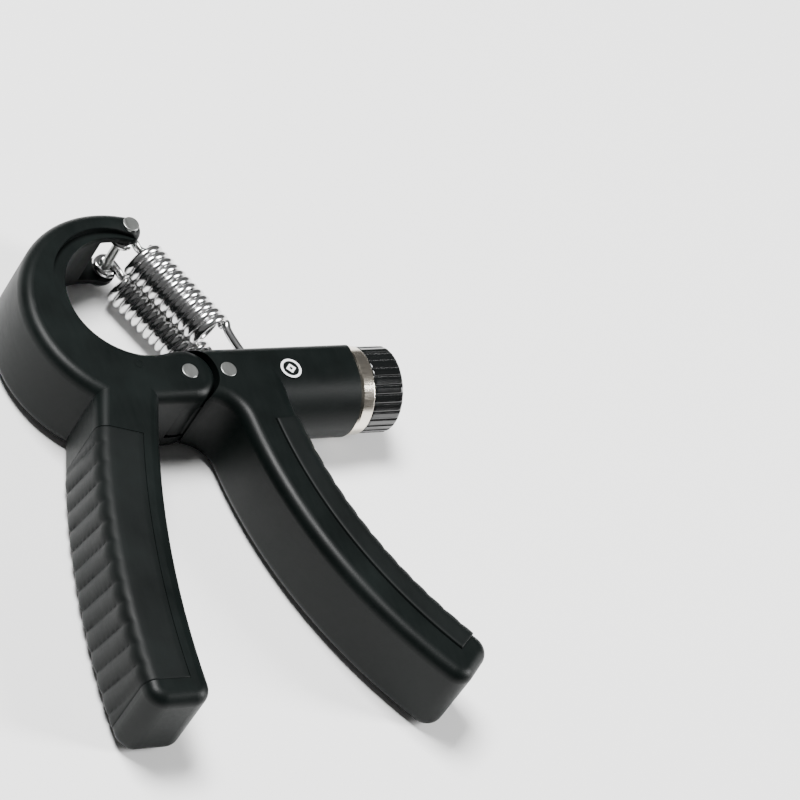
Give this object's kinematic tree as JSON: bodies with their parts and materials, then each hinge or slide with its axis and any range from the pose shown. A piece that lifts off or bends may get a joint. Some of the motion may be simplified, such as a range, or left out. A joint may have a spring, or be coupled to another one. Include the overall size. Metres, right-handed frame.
{
  "type": "hand grip strengthener",
  "caption": "Adjustable hand grip strengthener: two hinged handles, a hooked arm, side-by-side extension springs and a knob that moves their lower ends along a barrel.",
  "frame": {"origin": "the pivot's axis, on the plane that the strengthener lies on", "axes": "+X along the barrel towards the knob, +Y up to the hook with the handles towards -Y, +Z out of the face that looks up"},
  "size_m": [0.1129, 0.151, 0.0253],
  "materials": {
    "body": "satin, fine moulded texture",
    "grip": "matt, ribbed",
    "pin_steel": "brushed",
    "inner_steel": "plain zinc plated",
    "spring_steel": "bright plated wire",
    "ring_metal": "bright nickel",
    "knob_plastic": "gloss",
    "cap_plastic": "satin",
    "carriage_plastic": "satin"
  },
  "bodies": {
    "pivot_pin": {"pivot_pin": "pin_steel"},
    "barrel_arm": {"barrel_arm": "body", "barrel_arm_grip": "grip", "thrust_pin": "pin_steel", "pivot_sleeve": "inner_steel", "end_bush": "carriage_plastic", "trim_ring": "ring_metal"},
    "knob": {"adjusting_screw": "inner_steel", "knob": "knob_plastic", "knob_washer": "carriage_plastic", "knob_cap": "cap_plastic", "knob_screw": "inner_steel"},
    "carriage": {"carriage": "carriage_plastic", "carriage_nut": "inner_steel", "anchor_pin": "inner_steel"},
    "hook_arm": {"hook_arm": "body", "hook_arm_grip": "grip"},
    "spring_pin": {"spring_pin": "pin_steel"},
    "springs": {"front_spring": "spring_steel", "rear_spring": "spring_steel"}
  },
  "joints": [
    {"name": "knob_turn", "type": "hinge", "parent": "barrel_arm", "child": "knob", "pos_m": [0.056, 0, 0.0125], "axis": [1, 0, 0], "range_deg": [0, 4800]},
    {"name": "carriage_slide", "type": "slide", "parent": "barrel_arm", "child": "carriage", "axis": [1, 0, 0], "range_m": [0, 0.0201]},
    {"name": "opening", "type": "hinge", "parent": "pivot_pin", "child": "barrel_arm", "pos_m": [0, 0, 0.0125], "axis": [0, 0, 1], "range_deg": [0, 19.25]},
    {"name": "squeeze", "type": "hinge", "parent": "pivot_pin", "child": "hook_arm", "pos_m": [0, 0, 0.0125], "axis": [0, 0, 1], "range_deg": [0, 34], "stiffness_Nm_per_rad": 9, "springref_deg": -2.86},
    {"name": "spring_swing", "type": "hinge", "parent": "hook_arm", "child": "spring_pin", "pos_m": [-0.00085, 0.04792, 0.0125], "axis": [0, 0, 1], "range_deg": [0, 25.06]},
    {"name": "spring_stretch", "type": "slide", "parent": "spring_pin", "child": "springs", "axis": [-0.0403, -0.9992, 0], "range_m": [0, 0.01255], "deforming": ["front_spring", "rear_spring"]}
  ],
  "couplings": [
    {"joint": "carriage_slide", "follows": "knob_turn", "m_per_rad": 0.00023873},
    {"joint": "opening", "follows": "knob_turn", "ratio": 0.0040009},
    {"joint": "spring_swing", "follows": "knob_turn", "ratio": 0.0052097},
    {"joint": "spring_stretch", "follows": "squeeze", "m_per_rad": 0.020985}
  ]
}
